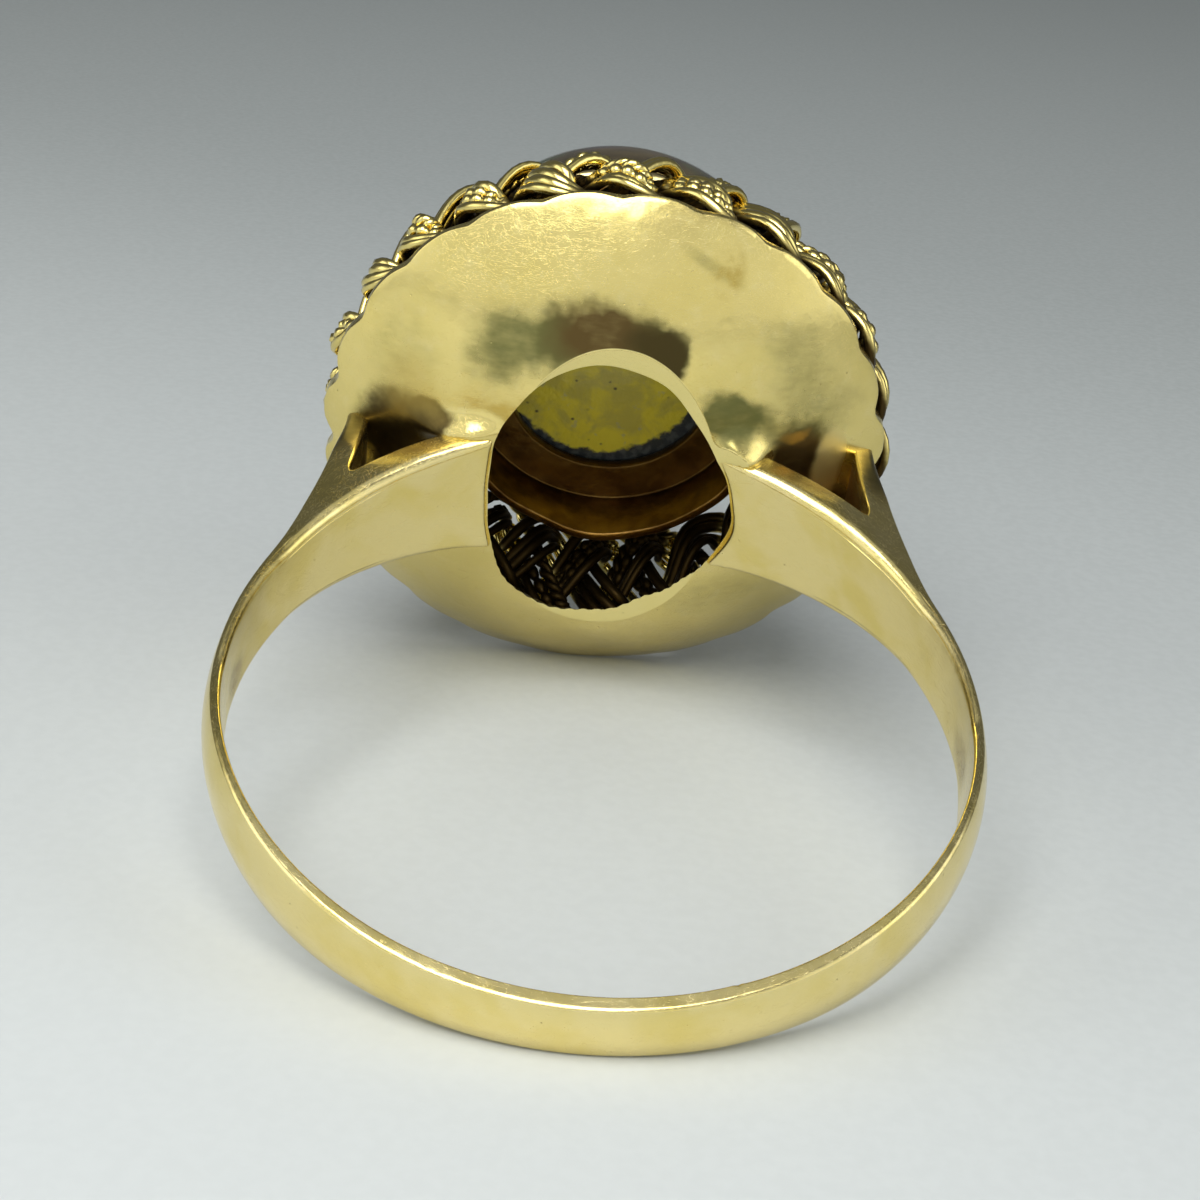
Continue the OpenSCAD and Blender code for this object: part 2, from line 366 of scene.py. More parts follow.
def bend(co):
    """Turns places on the bar into places on the ring."""
    along, across, layer = np.abs(co[:, 0]), co[:, 1], co[:, 2]
    side = np.where(co[:, 0] < 0, -1.0, 1.0)
    past_fork = along > SPLIT + 1e-6
    s = progress(along, SPLIT, BRANCH)
    places = np.stack(band_places(along, across, layer), 1)
    for part, branch_places in ((across < 1.1, inner_branch_places), (across > 1.1, outer_branch_places)):
        branch = np.stack(branch_places(s, across, layer, side), 1)
        places = np.where((past_fork & part)[:, None], branch, places)
    places[:, 0] *= side
    return places


move_points(bar, bend(points(bar)))
in_edit(bar, face_out)
print("widest at the head:", round(float(2 * points(bar)[:, 2].max()), 2), "mm")

# %% Soften the band's edges
BAND_EDGE = 0.36       # the widest soft edge


def edge_share(place, run):
    """Wide soft edges inside the shoulders, narrower ones at the back of the finger, none across the band."""
    x, h = np.abs(place[:, 0]), place[:, 1]
    at_hole = np.abs(x - np.abs(hole_x(place[:, 2], np.sign(place[:, 0])))) < 0.05
    inside = np.hypot(x, h) < FINGER_R + 0.03
    wide = (0.22 + 0.78 * progress(h, -1.5, 4.5)) * (1 - 0.45 * np.clip((3.7 - x) / 0.9, 0, 1))
    wide = wide * (0.75 + 0.25 * progress(h, 4.5, 1.5))
    window_side = (h > 7.02) & (x > 6.3) & (x < 6.75)
    at_window = np.where(place[:, 0] > 0, 0.23, 0.38)
    outside = 0.23 + 0.19 * progress(h, 7.4, 1.2) * (x > 6.75)
    share = np.where(inside, wide, np.where(window_side, at_window, outside))
    return np.where((np.abs(run[:, 2]) > 0.75) | at_hole, 0, share)


soften_by_weight(bar, BAND_EDGE, edge_share, degrees=28, segments=6, clamp=False)
with_modifier(bar, "SUBSURF", levels=1, render_levels=1)
lay_down(bar, UPRIGHT)

# %% [markdown]
# ## The cup
# The cup is thin sheet, domed in a hollow and sawn open in the middle, so its hole has soft corners. A drum
# that ground the finger hole has also cut a flat strip beside the hole. A ring of vertices is extruded again
# and again, and each ring is then moved to its place: out along the dome, over the rim and back inside. Where the
# inner branches of the forks meet the cup, solder has run into the corner and stands up as two soft swellings.

# %% The cup's rings of vertices
CUP_SIDES = 288
STRIP_STEPS, OUT_STEPS, BACK_STEPS = 4, 38, 12     # rings on the ground strip, out to the rim and back inside
RIM = STRIP_STEPS + OUT_STEPS


def ring_stack(name, sides, rings):
    """Rings of vertices above each other, a unit apart, made by extruding a circle."""
    nothing_selected()
    bpy.ops.mesh.primitive_circle_add(vertices=sides, radius=1)
    stack = bpy.context.object
    stack.name = name

    def extrude_up():
        for _ in range(rings - 1):
            bpy.ops.mesh.extrude_region_move(TRANSFORM_OT_translate={"value": (0, 0, 1)})

    in_edit(stack, extrude_up)
    return stack


cup = ring_stack("cup", CUP_SIDES, RIM + 2 + BACK_STEPS)
print("cup:", len(cup.data.vertices), "vertices")

# %% The cup's rim, its solder and its unevenness
RIM_LOBES = 24
LOBE_X, LOBE_A, LOBE_R = 6.02, 6.25, 1.6     # the oval on which the rim's lobes stand, and their radius
# solder that has run along a branch: middle (x and place along the finger), direction, length, width and height
SOLDER = (((-4.05, 1.76), (1.0, 0.22), 0.95, 0.27, 0.4), ((3.4, 1.9), (1.0, -0.3), 0.6, 0.3, 0.6))


def lobed_rim(f, inset=0.0):
    """Radius of the fluted rim: the outermost of the lobes' circles in each direction."""
    best = np.zeros_like(f)
    for i in range(RIM_LOBES):
        g = math.radians((i + 0.5) * 360 / RIM_LOBES)
        cx, cy = LOBE_X * math.cos(g), LOBE_A * math.sin(g)
        along = cx * np.cos(f) + cy * np.sin(f)
        reach = (LOBE_R - inset) ** 2 - (cx * cx + cy * cy) + along ** 2
        best = np.maximum(best, along + np.sqrt(np.maximum(reach, 0)))
    return best


def plain_rim(f, inset=0.0):
    """The same rim without its lobes."""
    reach = LOBE_R - inset - 0.07
    return (LOBE_X + reach) * np.cos(f) ** 2 + (LOBE_A + reach) * np.sin(f) ** 2


def solder_height(x, a):
    """How far the solder stands up from the sheet."""
    total = np.zeros_like(x)
    for (mid_x, mid_a), (dx, da), length, width, height in SOLDER:
        away = np.stack([x - mid_x, a - mid_a], 1)
        unit = np.array([dx, da]) / math.hypot(dx, da)
        along, across = away @ unit, away @ np.array([-unit[1], unit[0]])
        total += height * np.exp(-np.abs(along / length) ** 3 - (across / width) ** 2)
    return total


def hand_waves(p):
    """How far the sheet, which was domed by hand, is off the true dome. It is true at the hole."""
    wave = 0.018 * np.sin(0.9 * p[:, 0] + 1.1) * np.sin(1.1 * p[:, 1]) + 0.012 * np.sin(2.1 * p[:, 0] - 1.7 * p[:, 1])
    return wave * progress(np.hypot(p[:, 0], p[:, 1]), 4.6, 0.8)


# %% Move the rings to their places
STRIP_GAP = 0.004      # share of the way out, on each side of the ground strip's edge


def cup_place(co):
    """Each vertex's place, from its angle and the number of its ring."""
    f = np.arctan2(co[:, 1], co[:, 0])
    ring = np.round(co[:, 2]).astype(int)
    hole = np.stack([np.cos(f), np.sin(f)], 1) * hole_radius(f)[:, None]

    def sheet(q, inset=0.0):
        """A place between the hole and the rim."""
        rim_f = f + math.radians(1.5)
        lobes = 0.32 * (lobed_rim(rim_f, inset) - plain_rim(rim_f, inset)) * np.clip(q, 0, 1) ** 5
        off_notch = np.degrees((rim_f + math.pi / RIM_LOBES) % (2 * math.pi / RIM_LOBES) - math.pi / RIM_LOBES)
        flank = np.abs(np.cos(f)) ** 2 * np.where(np.sin(f) < 0, np.clip(1 + 1.6 * np.sin(f), 0, 1), 1)
        notch = (0.03 + 0.19 * flank) * np.exp(-np.abs(off_notch / 3.1) ** 2.6) * np.clip(q, 0, 1) ** 12
        rho = plain_rim(f, inset) + lobes - notch
        rim = np.stack([CUP_X + rho * np.cos(f), rho * np.sin(f)], 1)
        return hole + (rim - hole) * np.clip(q, 0, 1)[:, None]

    def dome_h(p, radius):
        return dome(np.hypot(p[:, 0] - CUP_X, p[:, 1]), radius)

    def bore_h(p):
        bore_r = FINGER_R + BORE_FLARE * np.maximum(np.abs(p[:, 1]) - BORE_STRAIGHT, 0)
        return np.sqrt(np.maximum(bore_r ** 2 - p[:, 0] ** 2, 0))

    # where the ground strip ends
    ground = np.full_like(f, 0.006)
    for q in np.linspace(0.006, 0.4, 120):
        p = sheet(np.full_like(f, q))
        ground = np.where(dome_h(p, CUP_R) < bore_h(p), q, ground)
    out = np.zeros_like(co)
    for k in range(RIM + 2 + BACK_STEPS):
        here = ring == k
        if k < STRIP_STEPS:
            q = (0 * ground, (ground - STRIP_GAP) / 2, ground - STRIP_GAP, ground + STRIP_GAP)[k]
            p = sheet(q)
            h = np.maximum(dome_h(p, CUP_R), bore_h(p))
        elif k < RIM:
            q = ground + (1 - ground) * ((k - STRIP_STEPS + 1) / OUT_STEPS) ** 1.3
            p = sheet(q)
            h = dome_h(p, CUP_R)
        elif k < RIM + 2:
            p = sheet(np.ones_like(f), (k - RIM) * CUP_T)
            h = np.full_like(f, RIM_H)
        else:
            q = np.full_like(f, 1 - (k - 1 - RIM) / BACK_STEPS)
            p = sheet(q, CUP_T)
            # the saw was held askew, so the hole is wider inside the cup
            p = p * (1 + 0.3 / np.hypot(p[:, 0], p[:, 1]) * np.clip(1 - q * 5, 0, 1))[:, None]
            h = dome_h(p, CUP_R - CUP_T)
        if k < RIM:
            # the drum has ground the solder too
            h = np.maximum(h - solder_height(p[:, 0], -p[:, 1]), bore_h(p)) + hand_waves(p)
        out[here, 0], out[here, 1], out[here, 2] = p[here, 0], p[here, 1], h[here]
    return out


move_points(cup, cup_place(points(cup)))

# %% Close the sawn hole's wall and soften the cup's edges


def close_hole_wall():
    """Bridges the first and the last ring, which are the two edges of the sawn hole."""
    bpy.ops.mesh.select_all(action="DESELECT")
    bpy.ops.mesh.select_mode(type="EDGE")
    bpy.ops.mesh.select_non_manifold()
    bpy.ops.mesh.bridge_edge_loops()
    bpy.ops.mesh.select_all(action="SELECT")


def rim_share(place, run):
    """Full soft edges at the rim, narrow ones at the hole."""
    return np.where(np.hypot(place[:, 0], place[:, 1]) > 6, 1.0, 0.2)


in_edit(cup, close_hole_wall, face_out)
soften_by_weight(cup, 0.12, rim_share, degrees=48, segments=3)
lay_down(cup, ON_HEAD)

# %% [markdown]
# ## The collet
# The collet is a short tube with a ledge for the stone and a bezel that opens above it. Its section is drawn
# once and spun round the head's axis.

# %% Model the collet
COLLET_SECTION = [(4.0, 11.95), (4.27, 11.95), (4.27, 13.35), (5.83, 15.3), (5.77, 15.48), (5.56, 15.48),
                  (5.56, 15.3), (4.46, 13.89), (2.87, 13.89), (2.87, 13.55), (4.0, 13.55)]
nothing_selected()
bpy.ops.mesh.primitive_circle_add(vertices=len(COLLET_SECTION), radius=1)
collet = bpy.context.object
collet.name = "dark_collet"
move_points(collet, [(r, 0, h) for r, h in COLLET_SECTION])


def spin_round():
    bpy.ops.mesh.spin(steps=120, angle=2 * math.pi, center=(0, 0, 0), axis=(0, 0, 1))
    bpy.ops.mesh.select_all(action="SELECT")
    merge(0.001)


in_edit(collet, spin_round, face_out)
with_modifier(collet, "BEVEL", width=0.06, segments=3, limit_method="ANGLE", angle_limit=math.radians(30))
co = points(collet)
f = np.arctan2(co[:, 1], co[:, 0])
low_edge = np.clip((12.5 - co[:, 2]) / 0.5, 0, 1)
co[:, 2] += low_edge * (0.05 * np.sin(3 * f + 1) + 0.04 * np.sin(7 * f))
r = np.hypot(co[:, 0], co[:, 1])
push = (0.03 * np.sin(5 * f) + 0.02 * np.sin(11 * f + 2)) * low_edge
co[:, 0] *= 1 + push / r
co[:, 1] *= 1 + push / r
move_points(collet, co)
lay_down(collet, ON_HEAD, shift=(STONE_X, 0, 0))

# %% [markdown]
# ## The opal
# A cabochon has no facets: a flat back, a short taper that sits in the collet, and a dome polished by hand.
# A sphere already has closed poles, so its rings are moved onto the stone's outline.

# %% Model the opal
BACK_H, GIRDLE_H, GIRDLE_R, BACK_R, DOME_H, TOP_R = 13.95, 15.3, 5.5, 4.4, 6.8, 4.6
nothing_selected()
bpy.ops.mesh.primitive_uv_sphere_add(segments=128, ring_count=64, radius=1)
opal = bpy.context.object
opal.name = "black_opal"
crown_h = DOME_H - TOP_R
flank_r = (GIRDLE_R ** 2 + crown_h ** 2 - TOP_R ** 2) / (2 * (GIRDLE_R - TOP_R))
flank_x = GIRDLE_R - flank_r
meet = math.atan2(crown_h, -flank_x)
outline = [(0, BACK_H), (BACK_R - 0.08, BACK_H), (BACK_R, BACK_H + 0.05), (GIRDLE_R - 0.03, GIRDLE_H - 0.04)]
outline += [(flank_x + flank_r * math.cos(t), GIRDLE_H + flank_r * math.sin(t)) for t in np.linspace(0.005, meet, 20)]
outline += [(TOP_R * math.cos(t), GIRDLE_H + crown_h + TOP_R * math.sin(t))
            for t in np.linspace(meet, math.pi / 2, 30)[1:]]
outline = np.array(outline)
length = np.r_[0, np.cumsum(np.hypot(*np.diff(outline, axis=0).T))]
co = points(opal)
share = 0.5 + np.arcsin(np.clip(co[:, 2], -1, 1)) / math.pi
f = np.arctan2(co[:, 1], co[:, 0])
ring_r = np.interp(share * length[-1], length, outline[:, 0])
ring_h = np.interp(share * length[-1], length, outline[:, 1])
move_points(opal, np.stack([ring_r * np.cos(f), ring_r * np.sin(f), ring_h], 1))
lay_down(opal, ON_HEAD, shift=(STONE_X, 0, 0))

# %% [markdown]
# ## The plaited wreath
# Three strands are plaited round the stone like hair. Each strand is not one thick wire but four or five thin
# ones side by side: plain drawn wire, wire rolled into beads, and a twisted rope. A curve follows each wire's
# path, its bevel gives the thickness, and its radius swells and thins along the beads.

# %% The course of a strand
PLAIT_R, PLAIT_H = 6.83, 13.0    # the middle of the plait
SLOPE = math.radians(111)        # how its face leans
TILT = math.radians(1.7)         # the wreath sits a little askew
TURNS, SWING, WEAVE, BANK = 8, 1.42, 0.36, math.radians(40)


def strand_frame(f, lead):
    """A strand's middle line, with the directions across it and out of its face."""
    across = np.array([math.cos(SLOPE), math.sin(SLOPE)])
    outward = np.array([math.sin(SLOPE), -math.cos(SLOPE)])

    def place(g):
        t = TURNS * g + lead
        swing = SWING * (1 + 0.1 * np.sin(3 * g + 2 * lead + 0.5) + 0.06 * np.sin(5 * g + lead))
        t = t + 0.16 * np.sin(3 * g + 1.2) + 0.1 * np.sin(7 * g + lead)
        q = (PLAIT_R, PLAIT_H) + (swing * np.sin(t))[:, None] * across + (WEAVE * np.sin(2 * t))[:, None] * outward
        return np.stack([q[:, 0] * np.cos(g), q[:, 0] * np.sin(g), q[:, 1]], 1)

    def unit(v):
        return v / np.linalg.norm(v, axis=1)[:, None]

    along = unit(place(f + 0.002) - place(f - 0.002))
    out = np.stack([outward[0] * np.cos(f), outward[0] * np.sin(f), np.full_like(f, outward[1])], 1)
    sideways = np.stack([np.sin(f), -np.cos(f), np.zeros_like(f)], 1)
    tilt = BANK * np.cos(TURNS * f + lead) ** 2
    face = np.cos(tilt)[:, None] * out + np.sin(tilt)[:, None] * sideways
    up = unit(face - (face * along).sum(1)[:, None] * along)
    return place(f), np.cross(along, up), up


# %% A wire


def lay_wire(name, lead, offset, radius, lift=-0.02, rings=280, beads=0, ply=0, ply_r=0.0, turn=0.0, sides=2):
    """One closed wire along a strand, beside or above its middle line."""
    f = np.linspace(0, 2 * math.pi, rings, endpoint=False)
    middle, side, up = strand_frame(f, lead)
    go_round = ply * f + turn
    stray = 0.05 * np.sin(5 * f + 9 * offset + lead) + 0.03 * np.sin(13 * f + 4 * offset)
    path = middle + side * (offset + stray + ply_r * np.cos(go_round))[:, None]
    path = path + up * (lift + 0.4 * stray + ply_r * np.sin(go_round))[:, None]
    askew = np.array(Matrix.Rotation(TILT, 3, "Y"))
    path = (path - (0, 0, PLAIT_H)) @ askew.T + (0, 0, PLAIT_H)
    nothing_selected()
    bpy.ops.curve.primitive_bezier_circle_add(radius=1)
    wire = bpy.context.object
    wire.name = name
    curve = wire.data
    curve.splines.clear()
    spline = curve.splines.new("POLY")
    spline.points.add(rings - 1)
    spline.use_cyclic_u = True
    spline.points.foreach_set("co", np.c_[path, np.ones(rings)].ravel())
    swell = 1 + (0.28 * np.cos(beads * f) - 0.06 * np.cos(2 * beads * f) if beads else 0 * f)
    spline.points.foreach_set("radius", swell)
    curve.dimensions = "3D"
    curve.bevel_depth = radius
    curve.bevel_resolution = sides
    curve.use_fill_caps = False
    bpy.ops.object.convert(target="MESH")
    return bpy.context.object


# %% Lay the wires
BEADED = {"rings": 1400, "sides": 1}
ROPE = {"offset": -0.4, "lift": 0.0, "radius": 0.125, "rings": 1100, "ply": 104, "ply_r": 0.1, "sides": 1}
PLAIN = ((-0.46, 0.17), (-0.12, 0.18), (0.22, 0.17), (0.51, 0.13))
WIRES = (
    # four plain wires, the outer ones lower
    [{"offset": offset, "radius": radius, "lift": 0.05 - 0.25 * offset ** 2} for offset, radius in PLAIN],
    # two beaded wires between two plain ones
    [{"offset": -0.45, "radius": 0.175}, {"offset": 0.49, "radius": 0.15},
     {"offset": -0.13, "radius": 0.148, "lift": 0.04, "beads": 166, **BEADED},
     {"offset": 0.2, "radius": 0.148, "lift": 0.04, "beads": 173, **BEADED}],
    # a rope of two wires, a beaded wire and two plain ones
    [{"turn": 0, **ROPE}, {"turn": math.pi, **ROPE},
     {"offset": -0.03, "radius": 0.155, "lift": 0.05, "beads": 158, **BEADED},
     {"offset": 0.27, "radius": 0.155}, {"offset": 0.53, "radius": 0.125}])
strands = []
for number, wires in enumerate(WIRES):
    lead = math.radians(120 * number)
    pick(*[lay_wire(f"wire_{k}", lead, **wire) for k, wire in enumerate(wires)])
    bpy.ops.object.join()
    strand = bpy.context.object
    strand.name = f"wire_strand_{number + 1}"
    in_edit(strand, face_out)
    strands.append(lay_down(strand, ON_HEAD, shift=(STONE_X, 0, 0)))

# %% [markdown]
# ## Finishes
# Every finish is made of nodes that read the Object coordinates. A Mapping node turns them back to the upright
# ring in millimetres, so a stain or a scratch can be given its place on the ring. A few short functions add the
# nodes, so that a mask reads like a sum. They all add to the node tree in hand, which is called tree.

# %% Helpers for sums, colours and noise


def add(kind, inputs=None, **settings):
    """Adds a node, sets it, and fills its inputs with numbers or with other nodes' outputs."""
    node = tree.nodes.new("ShaderNode" + kind)
    for name, value in settings.items():
        setattr(node, name, value)
    for name, value in (inputs or {}).items():
        if isinstance(value, bpy.types.NodeSocket):
            tree.links.new(value, node.inputs[name])
        else:
            node.inputs[name].default_value = value
    return node


def maths(operation, first, *others):
    """One kind of sum on its values, taken two at a time from the left."""
    if not others:
        return add("Math", {0: first}, operation=operation).outputs[0]
    for other in others:
        first = add("Math", {0: first, 1: other}, operation=operation).outputs[0]
    return first


def times(*values):
    return maths("MULTIPLY", *values)


def plus(*values):
    return maths("ADD", *values)


def less(value, taken):
    return maths("SUBTRACT", value, taken)


def most(*values):
    return maths("MAXIMUM", *values)


def rest_of(value):
    """What the value leaves of 1."""
    return less(1.0, value)


def weighed(*shares):
    """Values added up, each with its own weight."""
    return plus(*(value if weight == 1 else times(value, weight) for value, weight in shares))


def vectors(operation, one, other):
    return add("VectorMath", {0: one, 1: other}, operation=operation).outputs[0]


def scaled(vector, by):
    return add("VectorMath", {0: vector, "Scale": by}, operation="SCALE").outputs[0]


def parts_of(place):
    return add("SeparateXYZ", {0: place}).outputs


def length_of(*parts):
    """The length of a vector, given by its three parts."""
    vector = add("CombineXYZ", dict(enumerate(parts))).outputs[0]
    return add("VectorMath", {0: vector}, operation="LENGTH").outputs["Value"]


def fade(value, start, end):
    """0 before start, 1 after end, and smooth between them."""
    return add("MapRange", {"Value": value, "From Min": start, "From Max": end},
               interpolation_type="SMOOTHSTEP").outputs["Result"]


def thin_line(value, level, width):
    """A thin line where a smooth value passes a level."""
    return rest_of(fade(maths("ABSOLUTE", less(value, level)), 0.0, width))


def mixed(share, one, other):
    """Two colours mixed by a share."""
    return add("Mix", {0: share, 6: one, 7: other}, data_type="RGBA").outputs[2]


def layered(colour, *layers):
    """Colours laid over each other. Each layer is a share and a colour."""
    for share, layer in layers:
        colour = mixed(share, colour, layer)
    return colour


def noise(vector, scale, detail=4.0, distortion=0.0):
    return add("TexNoise", {"Vector": vector, "Scale": scale, "Detail": detail, "Distortion": distortion}
               ).outputs["Fac"]


def stretched(vector, scale, turn=(0, 0, 0)):
    return add("Mapping", {"Vector": vector, "Scale": scale, "Rotation": turn}).outputs["Vector"]


# %% Helpers for groups and materials


def new_group(name, inputs, outputs):
    """Starts a node group. Returns it with its input node's and its output node's sockets."""
    global tree
    tree = bpy.data.node_groups.new(name, "ShaderNodeTree")
    for label, kind, *value in inputs:
        socket = tree.interface.new_socket(label, in_out="INPUT", socket_type="NodeSocket" + kind)
        if value:
            socket.default_value = value[0]
    for label, kind in outputs:
        tree.interface.new_socket(label, in_out="OUTPUT", socket_type="NodeSocket" + kind)
    return tree, tree.nodes.new("NodeGroupInput").outputs, tree.nodes.new("NodeGroupOutput").inputs


def use_group(group, inputs):
    return add("Group", inputs, node_tree=group).outputs


def new_finish(name, metallic=1.0, **sockets):
    """Starts a material, and gives the place on the upright ring in millimetres."""
    global tree
    material = bpy.data.materials.new(name)
    material.use_nodes = True
    tree = material.node_tree
    shader = tree.nodes["Principled BSDF"]
    shader.inputs["Metallic"].default_value = metallic
    for socket, value in sockets.items():
        shader.inputs[socket.replace("_", " ")].default_value = value
    return material, stretched(add("TexCoord").outputs["Object"], (1000, 1000, 1000), (-LIE, 0, 0))


def finish_surface(material, colour, rough, height):
    """Joins a finish's colour, roughness and relief in millimetres to its shader."""
    shader = tree.nodes["Principled BSDF"]
    bump = add("Bump", {"Height": height, "Distance": 0.001, "Strength": 1.0})
    for name, value in (("Base Color", colour), ("Roughness", rough), ("Normal", bump.outputs["Normal"])):
        tree.links.new(value, shader.inputs[name])
    print(f"{material.name}: {len(tree.nodes)} nodes")


# %% [markdown]
# ### Worn gold
# Old polished gold is never one colour. The polish has soft clouds, it is covered with hair-thin scratches, and
# in the corners that a cloth can't reach it goes brown. One group makes this for all the gold; each material
# then says how dirty and how scratched it is. Its dirt mask and stain colour also carry painted shade and
# painted reflection, where a material puts them in.

# %% A group for worn gold
RUBBED_GOLD, PALE_CLOUD, SCRATCH_GOLD = (0.81, 0.655, 0.225, 1), (0.90, 0.77, 0.38, 1), (0.55, 0.42, 0.18, 1)
BROWN_GRIME_AND_SHADE = (0.16, 0.09, 0.035, 1)
worn, given, result = new_group(
    "worn_gold_surface",
    [("Place", "Vector"), ("Grain", "Vector"), ("Gold", "Color", (0.87, 0.71, 0.265, 1)),
     ("Stain", "Color", BROWN_GRIME_AND_SHADE), ("Dirt", "Float", 0.0), ("Scratches", "Float", 1.0), ("Polish", "Float", 0.2)],
    [("Colour", "Color"), ("Roughness", "Float"), ("Height", "Float")])
place, grain, given_dirt_and_shade = given["Place"], given["Grain"], given["Dirt"]
fine_cloud = noise(place, 2.6, 5)
rubbed = noise(stretched(grain, (0.5, 9, 9)), 1.0, 5)
hairs = noise(stretched(grain, (0.9, 3.2, 3.2), (0, 0, 0.5)), 1.3, 2, 2.2)
cross_hairs = noise(stretched(place, (3.4, 0.8, 3.4), (0.4, 0.9, 0.7)), 1.1, 2, 2.6)
scratch = most(thin_line(hairs, 0.5, 0.006), thin_line(cross_hairs, 0.52, 0.004))
scratch = times(scratch, given["Scratches"])
pits = add("TexVoronoi", {"Vector": place, "Scale": 1.7, "Randomness": 1.0}).outputs["Distance"]
pit = rest_of(fade(pits, 0.02, 0.05))
warm = layered(given["Gold"], (fade(noise(place, 0.55, 3, 0.4), 0.38, 0.68), RUBBED_GOLD),
               (times(fade(fine_cloud, 0.5, 0.8), 0.3), PALE_CLOUD), (times(scratch, 0.2), SCRATCH_GOLD))
# the edges of the dirt and of the painted shade are mottled, most where there is much of it
brushed = noise(stretched(place, (0.9, 3.0, 3.6), (0.3, 0.2, 0.7)), 1.6, 5)
uneven = weighed((less(noise(place, 1.5, 5), 0.5), 0.5), (less(brushed, 0.5), 0.55))
uneven = times(uneven, maths("MINIMUM", plus(given_dirt_and_shade, 0.12), 0.6))
mottled = fade(plus(given_dirt_and_shade, uneven), 0.03, 0.95)
dirty_and_shaded = most(times(mottled, 0.97), times(pit, 0.5))
tree.links.new(mixed(dirty_and_shaded, warm, given["Stain"]), result["Colour"])
rough = weighed((given["Polish"], 1), (fade(fine_cloud, 0.3, 0.7), 0.05), (scratch, 0.1), (dirty_and_shaded, 0.14))
tree.links.new(rough, result["Roughness"])
height = weighed((noise(place, 0.8, 2), 0.035), (noise(place, 2.4, 3), 0.006), (rubbed, 0.0007),
                 (noise(place, 9, 2), 0.0004), (scratch, -0.0008), (pit, -0.008))
tree.links.new(height, result["Height"])
print("worn gold:", len(worn.nodes), "nodes")

# %% [markdown]
# ### Soft spots
# Stains, worn tips and dents have no sharp outline. They could be painted on an image, but the finish would then
# hang on how the piece is unwrapped. A spot with a centre, a size and a blur needs no image, so one small group
# makes it, and the materials set it down again and again.

# %% A group for one soft spot
spot_group, given, result = new_group(
    "soft_spot",
    [("Place", "Vector"), ("Centre", "Vector", (0, 0, 0)), ("Size", "Vector", (1, 1, 1)), ("Blur", "Float", 0.5)],
    [("Mask", "Float")])
away = vectors("DIVIDE", vectors("SUBTRACT", given["Place"], given["Centre"]), given["Size"])
reach = add("VectorMath", {0: away}, operation="LENGTH").outputs["Value"]
mask = add("MapRange", {"Value": reach, "From Min": rest_of(given["Blur"]),
                              "From Max": plus(1.0, given["Blur"]), "To Min": 1.0, "To Max": 0.0},
           interpolation_type="SMOOTHSTEP").outputs["Result"]
tree.links.new(mask, result["Mask"])


def spot(place, centre, size, blur):
    """A soft-edged spot on the upright ring."""
    return use_group(spot_group, {"Place": place, "Centre": centre, "Size": size, "Blur": blur})["Mask"]


def both_sides(place, centre, size, blur):
    """The same spot at the left and at the right."""
    x, h, a = centre
    return most(spot(place, (-x, h, a), size, blur), spot(place, centre, size, blur))


def together(*shares):
    """Masks added up by their strengths, at most to 1, so that neighbouring spots run into one stain."""
    return maths("MINIMUM", weighed(*shares), 1.0)


def spots(*rows):
    """One stain made of spots. Each row is a place, a centre, a size and a blur."""
    return together(*((spot(*row), 1) for row in rows))


print("soft spot:", len(spot_group.nodes), "nodes")

# %% [markdown]
# ### The band's gold
# A band is rubbed round the finger, so its scratches run that way. The place is therefore unrolled round the
# finger before it goes into the group. The crotch and inner wall of each fork are painted brown: grime where no
# cloth reaches, and painted shade and reflection of the cup in the fork's window.

# %% The band's gold
ROUND_R = 8.8      # the radius at which the unrolled length is true


def round_finger(place):
    """The place as a length round the finger, a distance from its axis and a place along it."""
    parts = parts_of(place)
    turn = maths("ARCTAN2", parts[0], times(parts[1], -1.0))
    r = length_of(parts[0], parts[1], 0.0)
    return add("CombineXYZ", {0: times(turn, ROUND_R), 1: r, 2: parts[2]}).outputs[0]


band_gold, place = new_finish("band_gold")
# painted shade and grime: the fork's crotch and inner wall are darkened brown
crotch = both_sides(place, (5.55, 8.75, 0), (1.15, 1.2, 1.5), 0.2)
low_crotch = both_sides(place, (5.4, 8.0, 1.45), (1.2, 0.55, 0.7), 0.5)
inner_wall = spot(place, (6.5, 8.6, 0.1), (0.28, 2.2, 0.95), 0.3)
tips = both_sides(place, (6.95, 9.0, 1.0), (0.42, 1.3, 0.7), 0.6)
streaks = most(spot(place, (8.62, 0.1, -0.3), (0.3, 0.9, 0.5), 0.6),
               spot(place, (-8.62, 0.9, -0.4), (0.3, 0.7, 0.5), 0.6))
crotch = most(crotch, times(low_crotch, 0.7), times(inner_wall, 0.9))
band_dirt_and_shade = most(times(crotch, 0.85), times(streaks, 0.45), times(tips, 0.92))
stain_and_shade_colour = layered(BROWN_GRIME_AND_SHADE, (inner_wall, (0.30, 0.15, 0.04, 1)), (tips, (0.17, 0.14, 0.05, 1)))
surface = use_group(worn, {"Place": place, "Grain": round_finger(place), "Gold": (0.87, 0.725, 0.33, 1),
                                 "Stain": stain_and_shade_colour, "Polish": 0.17, "Dirt": band_dirt_and_shade})
finish_surface(band_gold, surface["Colour"], surface["Roughness"], surface["Height"])

# %% [markdown]
# ### The stained cup
# Inside the fork and above the sawn hole the cup is tarnished olive and brown, with mottled edges. These dark
# patches are also painted shade inside the forks, a painted shadow below the hole, and above the hole a painted
# reflection of the dark camera and its shadow in front. Each stain is made of soft spots at their places on the
# cup. Smooth noise moves the place first, which bends the spots' edges, and the worn gold's group then breaks them
# up.

